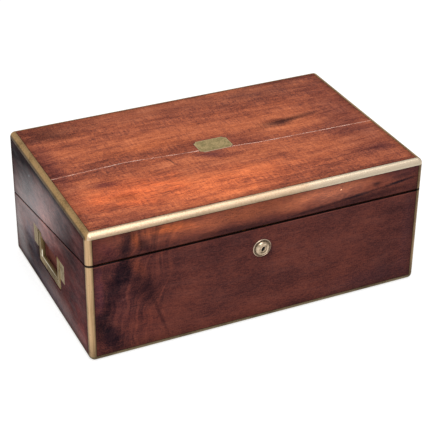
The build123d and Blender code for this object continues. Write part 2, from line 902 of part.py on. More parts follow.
with BuildPart() as pen_shelf:
    with Locations((0, wall - half_depth, shelf_top)):
        Box(
            inner_width,
            partition_back - wall + half_depth,
            shelf_thickness,
            align=(Align.CENTER, Align.MIN, Align.MAX),
        )
finish(pen_shelf, "pen_shelf")

with BuildPart() as pen_partition:
    with Locations((0, partition_front, shelf_top)):
        Box(inner_width, partition, height, align=(Align.CENTER, Align.MIN, Align.MIN))
    split(bisect_by=flap_under, keep=Keep.BOTTOM)
finish(pen_partition, "pen_partition")

with BuildPart() as ink_dividers:
    with Locations((-divider_x, bay_middle, shelf_top), (divider_x, bay_middle, shelf_top)):
        Box(divider, pen_section, height, align=floor)
    split(bisect_by=parting.offset(-parting_gap / 2 - divider_drop), keep=Keep.BOTTOM)
    for right in (-1, 1):
        with Locations((right * (divider_x - divider / 2), bay_middle, tray_bottom)):
            Box(
                divider,
                pen_section,
                divider,
                align=(Align.MAX if right > 0 else Align.MIN, Align.CENTER, Align.MAX),
            )
finish(ink_dividers, "ink_dividers")

tray_length = 2 * (divider_x - divider / 2 - tray_play)
tray_width = pen_section - 2 * tray_play
cove = tray_width / 2 - tray_edge
with BuildPart() as pen_tray:
    with Locations((0, bay_middle, tray_bottom)):
        Box(tray_length, tray_width, tray_depth, align=floor)
    with BuildSketch(Plane.YZ.offset(tray_edge - tray_length / 2)):
        with BuildLine():
            Line((bay_middle - cove, tray_top), (bay_middle + cove, tray_top))
            ThreePointArc(
                (bay_middle - cove, tray_top),
                (bay_middle, tray_bottom + tray_edge),
                (bay_middle + cove, tray_top),
            )
        make_face()
    extrude(amount=tray_length - 2 * tray_edge, mode=Mode.SUBTRACT)
finish(pen_tray, "pen_tray")

bottle_x = inner_width / 2 - ink_bay / 2
bottle_top = shelf_top + bottle_height
bottle_places = [(right * bottle_x, bay_middle, 0) for right in (-1, 1)]
with BuildPart() as inkwells:
    with Locations(*bottle_places):
        with Locations((0, 0, shelf_top)):
            Box(bottle_side, bottle_side, bottle_height, align=floor)
        with Locations((0, 0, bottle_top)):
            Cylinder(bottle_neck, neck_height, align=floor)
        with Locations((0, 0, shelf_top + bottle_base)):
            Cylinder(bottle_bore, height, align=floor, mode=Mode.SUBTRACT)
    chamfer(inkwells.edges().filter_by(Axis.Z).filter_by(GeomType.LINE), bottle_chamfer)
finish(inkwells, "inkwells")

with BuildPart() as inkwell_caps:
    with Locations(*[(x, y, bottle_top) for x, y, _ in bottle_places]):
        Cylinder(cap_radius, neck_height + cap_height, align=floor)
        Cylinder(bottle_neck + pilot_gap, neck_height, align=floor, mode=Mode.SUBTRACT)
    fillet(inkwell_caps.edges().filter_by(GeomType.CIRCLE).group_by(Axis.Z)[-1], radius=cap_round)
finish(inkwell_caps, "inkwell_caps")
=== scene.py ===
"""The brass-bound mahogany writing box as it stands in the photograph, in metres."""
import json
import math
import random

import bmesh
import bpy
from mathutils import Matrix, Vector


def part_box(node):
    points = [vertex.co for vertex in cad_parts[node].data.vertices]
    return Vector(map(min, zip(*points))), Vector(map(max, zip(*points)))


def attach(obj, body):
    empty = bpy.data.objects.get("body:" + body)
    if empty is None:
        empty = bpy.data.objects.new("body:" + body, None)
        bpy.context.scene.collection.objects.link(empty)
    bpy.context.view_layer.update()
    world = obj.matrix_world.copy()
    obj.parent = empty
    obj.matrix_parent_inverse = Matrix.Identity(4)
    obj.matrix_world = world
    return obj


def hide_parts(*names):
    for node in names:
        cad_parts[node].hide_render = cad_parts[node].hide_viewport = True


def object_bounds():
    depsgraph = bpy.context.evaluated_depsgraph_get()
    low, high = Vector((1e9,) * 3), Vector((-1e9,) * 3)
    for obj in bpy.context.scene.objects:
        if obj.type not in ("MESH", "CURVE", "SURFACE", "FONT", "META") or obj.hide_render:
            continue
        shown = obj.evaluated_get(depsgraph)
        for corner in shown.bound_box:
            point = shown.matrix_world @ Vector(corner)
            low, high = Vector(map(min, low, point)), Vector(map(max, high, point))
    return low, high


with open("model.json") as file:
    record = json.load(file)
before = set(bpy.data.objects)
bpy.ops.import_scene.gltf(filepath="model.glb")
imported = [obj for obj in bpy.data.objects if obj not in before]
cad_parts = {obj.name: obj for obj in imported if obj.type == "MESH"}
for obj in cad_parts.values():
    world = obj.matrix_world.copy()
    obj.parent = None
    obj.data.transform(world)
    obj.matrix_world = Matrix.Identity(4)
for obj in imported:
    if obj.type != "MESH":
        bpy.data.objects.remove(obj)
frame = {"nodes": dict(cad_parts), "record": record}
cad_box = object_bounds()

# Walls: mahogany boards, mitred and glued up as one shut box, sawn open along the sloping line
# and French polished. The figure of each side runs on from the base into the lid. The outside
# has darkened with handling, dirt lies along the brass, and the inside is bare wood.


class Wire:
    """A socket in a material's tree. Arithmetic on it adds Math nodes to that material."""

    def __init__(self, tree, socket=None):
        self.tree = tree
        self.socket = socket

    def node(self, kind, settings=None, inputs=None, output=0):
        made = self.tree.nodes.new(kind)
        for name, value in (settings or {}).items():
            if name == "stops":
                ramp = made.color_ramp
                for at, shade in value[1:-1]:
                    ramp.elements.new(at).color = shade
                for element, (at, shade) in ((ramp.elements[0], value[0]), (ramp.elements[-1], value[-1])):
                    element.position = at
                    element.color = shade
            else:
                setattr(made, name, value)
        for name, value in (inputs or {}).items():
            if isinstance(value, Wire):
                self.tree.links.new(value.socket, made.inputs[name])
            else:
                made.inputs[name].default_value = value
        return Wire(self.tree, made.outputs[output])

    def math(self, operation, *terms):
        return self.node("ShaderNodeMath", {"operation": operation}, dict(enumerate(terms)))

    def __add__(self, other):
        return self.math("ADD", self, other)

    def __radd__(self, other):
        return self.math("ADD", other, self)

    def __sub__(self, other):
        return self.math("SUBTRACT", self, other)

    def __rsub__(self, other):
        return self.math("SUBTRACT", other, self)

    def __mul__(self, other):
        return self.math("MULTIPLY", self, other)

    def __rmul__(self, other):
        return self.math("MULTIPLY", other, self)

    def most(self, other):
        return self.math("MAXIMUM", self, other)

    def least(self, other):
        return self.math("MINIMUM", self, other)

    def size(self):
        return self.math("ABSOLUTE", self)

    def parts(self):
        """The x, y and z of a place."""
        return [self.node("ShaderNodeSeparateXYZ", None, {0: self}, output=axis) for axis in range(3)]

    def fade(self, start, end):
        """0 at start and 1 at end, smoothly; start may be the larger."""
        return self.node(
            "ShaderNodeMapRange",
            {"interpolation_type": "SMOOTHSTEP"},
            {"Value": self, "From Min": start, "From Max": end},
        )

    def choose(self, shade, other):
        """The first colour where this mask is 0 and the other where it is 1."""
        return self.node("ShaderNodeMix", {"data_type": "RGBA"}, {0: self, 6: shade, 7: other}, output=2)

    def tint(self, shade, ratio):
        """The first colour where this mask is 0 and that colour times the ratio where it is 1."""
        return self.node(
            "ShaderNodeMix", {"data_type": "RGBA", "blend_type": "MULTIPLY"}, {0: self, 6: shade, 7: ratio},
            output=2,
        )

    def noise(self, scale, detail=2.0, roughness=0.55, shift=(0, 0, 0)):
        """Cloudy noise at this place, with its own number of clouds to the metre on each axis."""
        spread = self.node("ShaderNodeMapping", None, {"Vector": self, "Scale": scale, "Location": shift})
        return self.node(
            "ShaderNodeTexNoise", None,
            {"Vector": spread, "Scale": 1.0, "Detail": detail, "Roughness": roughness},
        )

    def swayed(self, clouds, amount, shift):
        """This place, pushed along the amount by slow noise with so many clouds to the metre."""
        push = self.noise((clouds, clouds, clouds), 1.0, shift=shift)
        pushes = self.node("ShaderNodeCombineXYZ", None, {0: push, 1: push, 2: push})
        return self.node(
            "ShaderNodeVectorMath", {"operation": "MULTIPLY_ADD"}, {0: pushes, 1: amount, 2: self}
        )

    def seen_from(self, centre, spin, unit=(1, 1, 1)):
        """This place as measured from a centre, along axes turned by the spin, in these units."""
        return self.node(
            "ShaderNodeMapping", {"vector_type": "TEXTURE"},
            {"Vector": self, "Location": centre, "Rotation": spin, "Scale": unit},
        )

    def spot(self, centre, reach, spin=(0, 0, 0)):
        """Distance from a centre, as a share of the reach on each axis."""
        local = self.seen_from(centre, spin, reach)
        return self.node("ShaderNodeVectorMath", {"operation": "LENGTH"}, {0: local}, output="Value")


def colour(red, green, blue):
    """A colour from its 0 to 255 values on screen."""
    linear = [((c / 255 + 0.055) / 1.055) ** 2.4 if c > 10 else c / 255 / 12.92 for c in (red, green, blue)]
    return (*linear, 1.0)


def new_finish(name):
    """An empty finish: its material, its shader and the place on the piece that its patterns read."""
    material = bpy.data.materials.new(name)
    material.use_nodes = True
    shader = material.node_tree.nodes["Principled BSDF"]
    place = Wire(material.node_tree).node("ShaderNodeTexCoord", output="Object")
    return material, shader, place


def feed(shader, name, wire):
    """Lead a wire into one socket of a shader."""
    wire.tree.links.new(wire.socket, shader.inputs[name])


def raise_grain(height, strength, distance):
    """The normal of a surface whose small relief has this height."""
    return height.node(
        "ShaderNodeBump", None, {"Height": height, "Strength": strength, "Distance": distance}
    )


# The box's own sizes, which place the dirt, the polish and the black line of the saw
front_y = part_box("base_front")[0][1]
half_width = cad_box[1][0]
box_height = cad_box[1][2]
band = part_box("base_front")[0][2]
hinge_line = Vector(frame["record"]["behaviour"]["joints"][0]["pos_m"])
front_rim = 0.1384
slope = math.atan2(front_rim - hinge_line.z, hinge_line.y - front_y)
tone_stops = (0.26, 0.43, 0.56, 0.76)
polish_depth = 0.0024
pocket_reach = 0.0615
pocket_depth = 0.0088
right_through = 999.0


def outside(place):
    """How deep a point lies in the box, and how far it is from the nearest outer edge."""
    x, y, z = place.parts()
    from_end = half_width - x.size()
    from_face = -front_y - y.size()
    from_top = z.least(box_height - z)
    nearer = from_end.least(from_face)
    depth = nearer.least(from_top)
    edge = nearer.most(from_end.most(from_face).least(from_top))
    return depth, edge


def above_split(place):
    """Height of a point above the sawn plane, square to it."""
    _, y, z = place.parts()
    return (z - hinge_line.z) * math.cos(slope) + (y - hinge_line.y) * math.sin(slope)


def stroke(start, end, breadth, face):
    """Centre, reach and spin of a long thin spot, drawn on one face between two points of it."""
    run, rise = end[0] - start[0], end[1] - start[1]
    middle = ((start[0] + end[0]) / 2, (start[1] + end[1]) / 2)
    reach = (math.hypot(run, rise) + breadth) / 2
    turn = math.atan2(rise, run)
    if face == "top":
        return (middle[0], middle[1], 0), (reach, breadth / 2, right_through), (0, 0, turn)
    if face == "left":
        return (0, middle[0], middle[1]), (right_through, reach, breadth / 2), (turn, 0, 0)
    return (middle[0], 0, middle[1]), (reach, right_through, breadth / 2), (0, -turn, 0)


def strokes(face, rows):
    """Spots on one face, each from its two ends and its breadth, with whatever else its row says."""
    return [(*stroke(start, end, breadth, face), *rest) for start, end, breadth, *rest in rows]


def mahogany(
    name, tones, along="x", shift=(0, 0, 0), marks=(), figure=1.0, clouding=0.5, ripple=0.12,
    polish=0.15, shine=(), gap=0.0013, plume=None,
):
    """Polished mahogany: figure, clouding, ripple, flecks and pores, old marks, dirt at its edges, and
    painted light and shade.

    A mark is a spot with a colour and a strength, and a shine is a spot with a weight. The polish is
    a clear coat of this weight, thicker where the shines lie. The gap is half the breadth of the
    black line along the sawn edges. Inside the plume the figure fans out along it.
    """
    material, shader, place = new_finish(name)

    def grain(lengthwise, across):
        return (lengthwise, across, across) if along == "x" else (across, lengthwise, across)

    # Figure: long bands, a mottle and fine streaks, all bent by a slow drift
    bent = place.swayed(3.0, grain(0, 0.035), shift)
    broad = bent.noise(grain(3.0, 20.0), 3.0, 0.55, shift)
    mottle = bent.noise(grain(26.0, 110.0), 3.0, 0.55, shift)
    streak = bent.noise(grain(22.0, 520.0), 2.0, 0.5, shift)
    fleck = bent.noise(grain(150.0, 1100.0), 2.0, 0.5, shift)
    clouds = bent.noise(grain(13.0, 17.0), 4.0, 0.6, shift)
    speckle = place.noise((620.0, 620.0, 620.0), 1.0, 0.5, shift)
    cross = place.noise((330.0, 44.0, 44.0) if along == "x" else (44.0, 330.0, 44.0), 1.0, 0.5, shift)
    tone = 0.5 + (
        ((broad - 0.5) * 0.8 + (mottle - 0.5) * 0.4 + (streak - 0.5) * 0.45) * figure
        + (clouds - 0.5) * clouding + (fleck - 0.5) * 0.5 + (speckle - 0.5) * 0.4
        + (cross - 0.5) * ripple * mottle.fade(0.35, 0.6)
    )
    if plume:
        centre, reach, spin = plume
        fanned = place.swayed(16.0, (0.05, 0, 0), shift).seen_from(centre, spin)
        feather = fanned.noise((12.0, 150.0, 150.0), 4.0, 0.65)
        tone = tone + (feather - 0.5) * place.spot(centre, reach, spin).fade(1.3, 0.4)
    wood = place.node("ShaderNodeValToRGB", {"stops": list(zip(tone_stops, tones))}, {0: tone})
    pores = fleck.fade(0.64, 0.76)
    wood = (pores * 0.45).choose(wood, tones[0])

    # Old marks with ragged edges, among them painted sheen, shade and reflection, dirt beside the brass,
    # and nicks that are commonest there
    ragged = bent.noise(grain(34.0, 80.0), 4.0, 0.62, shift)
    for centre, reach, spin, shade, strength in marks:
        from_mark = place.spot(centre, reach, spin) + (ragged - 0.5) * 1.3 + (speckle - 0.5) * 0.7
        inside = from_mark.fade(1.35, 0.1)
        ratio = [2 * made / (low + high) for made, low, high in zip(shade, tones[1], tones[2])]
        wood = (inside * strength).tint(wood, ratio)
    depth, edge = outside(place)
    dirt = colour(36, 22, 20)
    rim = (edge + (ragged - 0.5) * 0.02).fade(band + 0.012, band - 0.002)
    wood = (rim * 0.34).choose(wood, dirt)
    wood = (edge.fade(band + 0.0011, band + 0.0003) * 0.8).choose(wood, dirt)
    chips = place.noise((330.0, 330.0, 330.0), 2.0, 0.7, shift)
    nicks = chips.fade(0.735, 0.765) * edge.fade(band + 0.03, band + 0.004)
    wood = nicks.most(chips.fade(0.79, 0.81)).least(0.7).choose(wood, colour(176, 128, 112))

    # Along the saw line: a pale arris below it, worn and partly a painted highlight, and darker wood above
    # it
    sawn = above_split(place)
    arris_wear_and_highlight = sawn.fade(-0.0034, -0.0024) * sawn.fade(-gap, -gap - 0.0004) * mottle.fade(0.4, 0.6)
    wood = (arris_wear_and_highlight * 0.5).choose(wood, colour(160, 90, 74))
    grime_and_shade = (sawn + (ragged - 0.5) * 0.014).fade(0.013, 0.0) * sawn.fade(-0.0004, 0.0004)
    wood = (grime_and_shade * 0.36).choose(wood, colour(38, 20, 22))

    # Inside the skin of polish the wood is bare, and in the handles' pockets it is painted lighter, as
    # light inside them
    skin = depth.fade(polish_depth + 0.0006, polish_depth - 0.0006)
    fibres = (streak - 0.5) * 2.2 + (mottle - 0.5) * 1.4 + 0.5
    bare = fibres.choose(colour(96, 46, 28), colour(172, 104, 68))
    bare = (pores * 0.6).choose(bare, colour(62, 30, 20))
    x, y, _ = place.parts()
    painted_light_pocket = y.size().fade(pocket_reach + 0.0005, pocket_reach - 0.0005)
    painted_light_pocket = painted_light_pocket * (half_width - x.size()).fade(pocket_depth + 0.0002, pocket_depth - 0.0002)
    bare = painted_light_pocket.choose(bare, (fleck * 0.5).choose(colour(134, 80, 70), colour(172, 110, 98)))
    wood = skin.choose(bare, wood)

    # The sawn edges themselves, painted dark brown to black as shade where they close on each other
    painted_gap_shade = sawn.size().fade(gap, gap - 0.0005)
    wood = (painted_gap_shade * depth.fade(0.0060, 0.0010) * 0.8).choose(wood, colour(34, 19, 16))
    wood = (painted_gap_shade * depth.fade(0.0030, 0.0012) * 0.95).choose(wood, colour(12, 7, 7))
    feed(shader, "Base Color", wood)
    feed(shader, "Roughness", 0.5 + streak * 0.16 + pores * 0.12)
    relief = streak * 0.5 + fleck * 0.4 - pores * 0.6 + broad * 1.5
    feed(shader, "Normal", raise_grain(relief, 0.3, 0.0004))

    # Polish: worn all over, and left thick in the shines
    worn = 0.6 + (mottle - 0.5) * 2.5
    coat = worn * polish
    for centre, reach, spin, weight in shine:
        inside = (place.spot(centre, reach, spin) + (ragged - 0.5) * 0.5).fade(1.5, 0.0)
        coat = coat + inside * weight
    feed(shader, "Coat Weight", (coat * (1.0 - rim * 0.6) * skin).most(0.07).least(1.0))
    shader.inputs["Coat Roughness"].default_value = 0.2
    shader.inputs["Specular IOR Level"].default_value = 0.0
    return material


def dress(node, material):
    """Give a CAD node its finish."""
    slots = frame["nodes"][node].data.materials
    slots.clear()
    slots.append(material)


front_tones = [colour(64, 35, 36), colour(91, 49, 46), colour(113, 60, 52), colour(138, 74, 60)]
side_tones = [colour(48, 30, 35), colour(78, 43, 44), colour(98, 53, 51), colour(124, 70, 65)]
stain = colour(31, 19, 27)
plum = colour(88, 42, 46)
glow = colour(176, 88, 56)

# Marks as they are drawn on each face: two ends, breadth, colour and strength
front_marks = strokes("front", [
    ((-0.200, 0.166), (0.216, 0.166), 0.040, colour(152, 85, 66), 0.78),
    ((-0.200, 0.160), (0.020, 0.160), 0.050, colour(134, 72, 58), 0.5),
    ((-0.050, 0.162), (0.044, 0.164), 0.034, colour(82, 43, 39), 0.75),
    ((0.050, 0.164), (0.140, 0.166), 0.034, colour(154, 90, 78), 0.7),
    ((0.176, 0.1700), (0.226, 0.1730), 0.024, colour(80, 44, 48), 0.8),
    ((0.157, 0.1613), (0.166, 0.1618), 0.0080, stain, 0.8),
    ((-0.196, 0.140), (-0.200, 0.020), 0.070, colour(80, 44, 47), 0.7),
    ((-0.160, 0.140), (-0.146, 0.070), 0.070, colour(90, 48, 46), 0.5),
    ((-0.150, 0.1660), (-0.100, 0.1650), 0.016, glow, 0.4),
    ((-0.171, 0.166), (-0.163, 0.152), 0.012, glow, 0.45),
    ((-0.216, 0.166), (-0.196, 0.146), 0.020, plum, 0.6),
    ((-0.176, 0.174), (-0.183, 0.140), 0.020, stain, 0.9),
    ((-0.166, 0.160), (-0.152, 0.142), 0.018, stain, 0.8),
    ((-0.184, 0.134), (-0.194, 0.100), 0.026, stain, 0.75),
    ((-0.192, 0.112), (-0.205, 0.066), 0.026, stain, 0.6),
    ((-0.204, 0.074), (-0.214, 0.044), 0.022, stain, 0.65),
    ((-0.212, 0.048), (-0.196, 0.012), 0.036, stain, 0.85),
    ((-0.180, 0.126), (-0.166, 0.086), 0.018, stain, 0.5),
    ((-0.160, 0.112), (-0.148, 0.070), 0.026, stain, 0.6),
    ((-0.149, 0.080), (-0.127, 0.014), 0.0060, stain, 0.5),
    ((-0.180, 0.084), (-0.192, 0.078), 0.0040, colour(150, 84, 72), 0.5),
    ((-0.217, 0.134), (-0.217, 0.070), 0.014, colour(120, 64, 70), 0.7),
    ((-0.180, 0.062), (-0.150, 0.040), 0.050, colour(122, 62, 54), 0.4),
    ((-0.174, 0.136), (-0.160, 0.112), 0.016, glow, 0.25),
    ((-0.111, 0.147), (0.040, 0.141), 0.010, stain, 0.5),
    ((0.216, 0.130), (0.216, 0.020), 0.030, colour(76, 48, 54), 0.4),
    ((0.090, 0.014), (0.216, 0.020), 0.040, colour(76, 48, 54), 0.4),
    ((0.030, 0.1420), (0.100, 0.1472), 0.0050, stain, 0.7),
    ((0.095, 0.1474), (0.170, 0.1540), 0.0050, stain, 0.9),
    ((0.165, 0.1538), (0.222, 0.1600), 0.0054, stain, 1.0),
    ((0.100, 0.1435), (0.218, 0.1490), 0.0110, stain, 0.5),
    ((0.184, 0.1636), (0.216, 0.1668), 0.0080, stain, 0.5),
    # A dark ring round the escutcheon: dirt, and painted shadow cast by it
    ((0.0025, 0.1060), (0.0035, 0.1045), 0.0310, stain, 0.8),
    ((0.1085, 0.1647), (0.1095, 0.1651), 0.0012, colour(216, 156, 142), 0.9),
])
painted_sheen = colour(150, 106, 104)
left_marks = strokes("left", [
    # Painted sheen: the middle of the side made pale, as the bright floor it reflects
    ((0.140, 0.062), (-0.050, 0.162), 0.085, painted_sheen, 0.85),
    ((-0.120, 0.010), (-0.120, 0.150), 0.060, colour(132, 72, 70), 0.7),
    ((0.020, 0.110), (-0.100, 0.050), 0.070, colour(126, 62, 60), 0.7),
    ((0.140, 0.172), (-0.110, 0.174), 0.016, stain, 0.95),
    ((0.143, 0.158), (0.070, 0.168), 0.034, stain, 0.9),
    ((0.143, 0.170), (0.143, 0.136), 0.016, stain, 0.8),
    # Painted shade: bluish dark low on the side, as the shaded floor it reflects
    ((0.080, 0.058), (0.056, 0.036), 0.040, colour(62, 52, 66), 0.6),
    ((-0.064, 0.136), (-0.110, 0.110), 0.040, stain, 0.5),
    # Painted shade: a bluish dark strip along the foot of the side, as the shaded floor it reflects
    ((0.120, 0.010), (-0.060, 0.010), 0.024, colour(66, 50, 68), 0.7),
    # Painted reflection: an olive strip in the scoop above the bail's bar
    ((0.017, 0.0640), (-0.016, 0.0615), 0.0040, colour(128, 110, 84), 0.5),
    ((0.0644, 0.1540), (0.0648, 0.1552), 0.0020, colour(240, 230, 230), 1.0),
])
left_shine = strokes("left", [
    ((0.140, 0.074), (-0.036, 0.156), 0.092, 0.64),
    ((0.140, 0.112), (0.020, 0.130), 0.060, 0.2),
    ((0.145, 0.066), (0.110, 0.016), 0.060, 0.6),
    ((0.060, 0.020), (-0.120, 0.014), 0.040, 0.32),
])
plume = stroke((-0.186, 0.020), (-0.152, 0.180), 0.110, "front")
front_finish = mahogany(
    "front_mahogany", front_tones, shift=(3, 1, 0), marks=front_marks, figure=0.3, clouding=0.6,
    ripple=0.04, gap=0.0019, plume=plume,
)
back_finish = mahogany("back_mahogany", front_tones, shift=(8, 5, 2), figure=0.6, clouding=0.7)
left_finish = mahogany(
    "left_mahogany", side_tones, "y", shift=(1, 7, 4), marks=left_marks, figure=0.4, clouding=0.9,
    polish=0.14, shine=left_shine,
)
right_finish = mahogany(
    "right_mahogany", side_tones, "y", shift=(5, 2, 9), figure=0.5, clouding=0.8, polish=0.3
)
for half in ("base", "lid"):
    dress(f"{half}_front", front_finish)
    dress(f"{half}_back", back_finish)
    dress(f"{half}_left", left_finish)
    dress(f"{half}_right", right_finish)
dress("base_bottom", mahogany("underside_mahogany", side_tones, shift=(6, 6, 1)))

# Brass bands: bars pinned over every edge and filed round. Hands have kept the front of the lid
# pale, with a painted highlight towards its right end, the other bands have gone olive and the posts
# brown, and the foot is dull with dirt and painted shade.


def old_brass(
    name, bright, dull, roughness=0.34, patina=0.5, banded=True, rubbed_and_highlit=(), seam_dirt_and_shade=0.55,
    drawn=(420, 420, 420), sunk=None,
):
    """Old brass: bright where it is rubbed and where highlights are painted, dull elsewhere, scratched,
    pitted, and dirty and painted darker in its seams.

    Banded brass lies over an edge of the box, with dirt and painted shade in the joint beside it. A
    rubbed place is a spot with a weight, and stands for wear and for a painted highlight. Drawn is how
    many streaks of wear there are to the metre on each axis. Deeper in the box than sunk, the brass is
    dull with dirt and painted shade, and never rubbed.
    """
    material, shader, place = new_finish(name)
    cloud = place.noise((24, 24, 24), 4.0, 0.6)
    grit = place.noise((420, 420, 420), 3.0, 0.6)
    scratch = place.noise((30, 900, 900), 2.0).most(place.noise((900, 30, 900), 2.0)).fade(0.6, 0.8)
    pits = place.noise((260, 260, 260), 2.0, 0.7).fade(0.68, 0.76)
    age = (cloud * 0.7 + grit * 0.3).fade(0.66 - 0.3 * patina, 0.8 - 0.24 * patina)
    metal = age.choose(bright, dull)
    streaks = place.noise(drawn, 2.0, 0.6).fade(0.5, 0.66)
    metal = (streaks * 0.5).choose(metal, dull)
    metal = (pits * 0.45).choose(metal, colour(84, 66, 44))
    grime_and_shade = pits * 0.2

    # On a band: a bright outer edge, rubbed and painted as a highlight, a dirty joint with painted shade,
    # painted shade on the flank below the lid's top, a foot darkened by dirt and painted shade, and painted
    # shade along the saw line
    if banded:
        edge = outside(place)[1]
        # Painted highlight on the outer edge, also rubbed there
        metal = (edge.fade(0.0030, 0.0004) * 0.8).choose(metal, bright)
        # Dirt in the joint beside the wood, with painted shade on the bar's flank there
        seam = (edge + (cloud - 0.5) * 0.004).fade(0.0030, band)
        metal = (seam * seam_dirt_and_shade).choose(metal, colour(96, 74, 46))
        grime_and_shade = grime_and_shade.most(seam * 0.3)
        # Painted shade on the side-facing flank of the top bands
        x, _, z = place.parts()
        painted_shade_flank = (half_width - x.size()).fade(0.0016, 0.0006) * (box_height - z).fade(0.0012, 0.0030)
        painted_shade_flank = painted_shade_flank * (box_height - z).fade(band + 0.002, band)
        metal = (painted_shade_flank * 0.75).choose(metal, colour(64, 50, 34))
        # Darker towards the foot: dirt, and painted shade reflected from the floor
        foot_dirt_and_shade = (z + (cloud - 0.5) * 0.04).fade(0.036, 0.004)
        metal = (foot_dirt_and_shade * 0.5).choose(metal, colour(98, 82, 58))
        # Painted shade along the saw line, where the gap between lid and base runs
        sawn = above_split(place).size().fade(0.0019, 0.0013)
        metal = (sawn * 0.85).choose(metal, colour(30, 20, 16))
        grime_and_shade = grime_and_shade.most(sawn)
    if sunk:
        # Dirt and painted shade on brass deeper in the box than sunk
        inner_dirt_and_shade = outside(place)[0].fade(sunk * 0.5, sunk)
        metal = (inner_dirt_and_shade * 0.8).choose(metal, colour(120, 100, 66))
        grime_and_shade = grime_and_shade.most(inner_dirt_and_shade * 0.4)
    finish = roughness + age * 0.14 + grit * 0.08 + grime_and_shade * 0.3
    for centre, reach, spin, weight in rubbed_and_highlit:
        # Rubbed places, brightened as wear and as painted highlights
        bared_and_highlit = (place.spot(centre, reach, spin) + (cloud - 0.5) * 1.2).fade(1.3, 0.6) * weight
        if sunk:
            bared_and_highlit = bared_and_highlit * (1.0 - inner_dirt_and_shade)
        metal = bared_and_highlit.choose(metal, colour(255, 246, 222))
        finish = finish * (1.0 - bared_and_highlit * 0.6)
    feed(shader, "Base Color", metal)
    feed(shader, "Roughness", finish)
    feed(shader, "Metallic", 1.0 - grime_and_shade * 0.6)
    feed(shader, "Normal", raise_grain(cloud * 0.8 + grit * 0.1 - scratch * 0.2 - pits * 0.15, 0.3, 0.0006))
    return material


upright = (460, 460, 6)
pale_brass = old_brass(
    "pale_brass", colour(230, 200, 168), colour(206, 172, 134), 0.42, 0.35,
    # Painted highlight towards the right end of the front band
    rubbed_and_highlit=[((0.190, 0, 0), (0.110, right_through, right_through), (0, 0, 0), 0.4)],
)
brown_brass = old_brass(
    "brown_brass", colour(212, 176, 134), colour(140, 108, 70), 0.36, 0.5, seam_dirt_and_shade=0.85, drawn=upright
)
olive_brass = old_brass("olive_brass", colour(202, 164, 112), colour(154, 124, 80), 0.4, 0.6)
dirty_brass = old_brass("dirty_brass", colour(168, 152, 118), colour(116, 102, 78), 0.48, 0.7)
worn_brass = old_brass(
    "worn_brass", colour(164, 138, 104), colour(112, 90, 66), 0.44, 0.7, seam_dirt_and_shade=0.8, drawn=upright
)
for node in frame["nodes"]:
    if "corner" in node:
        dress(node, worn_brass if "right" in node else brown_brass)
    elif "band" in node:
        dress(node, olive_brass)
dress("lid_band_front", pale_brass)
dress("base_foot_bands", dirty_brass)

# Butt hinges let into the back, with their pins and screws, and the plates and rods of the flaps
fitting_brass = old_brass(
    "fitting_brass", colour(206, 172, 112), colour(150, 120, 72), 0.3, 0.5, banded=False
)
for node in frame["nodes"]:
    if any(word in node for word in ("leaves", "screws", "pins")):
        dress(node, fitting_brass)

# Lock: a cast brass case let into the front, its bolt, the hooked link plate in the lid, and a
# turned escutcheon round the plug. The keyhole is painted black, as shade inside it and as grease
# round it.
for node in ("lock_case", "lock_bolt", "link_plate"):
    dress(node, fitting_brass)
low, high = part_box("escutcheon")
key_centre = ((low[0] + high[0]) / 2, 0, (low[2] + high[2]) / 2)
rim_radius = 0.0101
keyhole_radius = 0.0052
keyhole_face = -0.14885
keyhole_lean = math.radians(29)
lock_brass, shader, place = new_finish("lock_brass")
ring = place.spot(key_centre, (1, right_through, 1))
turned = (ring * 9000).math("SINE")
cloud = place.noise((160, 160, 160), 4.0, 0.6)
grit = place.noise((900, 900, 900), 2.0)
metal = cloud.fade(0.42, 0.62).choose(colour(218, 196, 168), colour(160, 140, 116))
metal = ring.fade(rim_radius - 0.0003, rim_radius + 0.0003).choose(metal, colour(196, 172, 150))
groove = ring.fade(rim_radius - 0.0006, rim_radius) * ring.fade(rim_radius + 0.0015, rim_radius + 0.0007)
metal = (groove * 0.85).choose(metal, colour(88, 82, 68))
# Painted shade: the keyhole's bore black, and a black smear of grease and shade round it
sunk_in = place.parts()[1].fade(keyhole_face, keyhole_face + 0.00105)
keyhole = sunk_in * ring.fade(keyhole_radius, keyhole_radius - 0.0003)
grease_and_shade = place.spot(key_centre, (0.0022, right_through, 0.0036), (0, keyhole_lean, 0))
keyhole = keyhole.most((grease_and_shade + (cloud - 0.5) * 0.5).fade(1.1, 0.85))
metal = keyhole.choose(metal, colour(10, 8, 7))
feed(shader, "Base Color", metal)
feed(shader, "Metallic", 1.0 - keyhole)
feed(shader, "Roughness", 0.28 + cloud * 0.12 + groove * 0.2 + keyhole * 0.5)
feed(shader, "Normal", raise_grain(turned * 0.15 + grit * 0.2 + cloud * 0.3, 0.3, 0.0003))
dress("escutcheon", lock_brass)
dress("lock_plug", lock_brass)

# Flush handles: a flat cast bail folded into each end between two ears. They are tarnished nearly
# to the colour of the wood. The crest of the bail and the inner edges of its arms are bright, rubbed by
# fingers and painted as highlights.
handle_brass = old_brass(
    "handle_brass", colour(142, 118, 70), colour(106, 88, 56), 0.42, 0.7, banded=False, sunk=0.0012,
    rubbed_and_highlit=strokes("left", [
        # Painted highlights, also rubbed by fingers: the bail's crest and the inner edges of its arms
        ((-0.0301, 0.0530), (0.0341, 0.0530), 0.0018, 1.0),
        ((0.0300, 0.0530), (0.0300, 0.0630), 0.0020, 1.0),
        ((-0.0415, 0.0439), (-0.0415, 0.0561), 0.0018, 1.0),
    ]),
)
ear_brass = old_brass("ear_brass", colour(152, 132, 94), colour(112, 96, 66), 0.44, 0.7, banded=False)
for node in frame["nodes"]:
    if node.startswith("handle_ears") or node == "handle_screws":
        dress(node, ear_brass)
    elif node in ("handle_left", "handle_right"):
        dress(node, handle_brass)

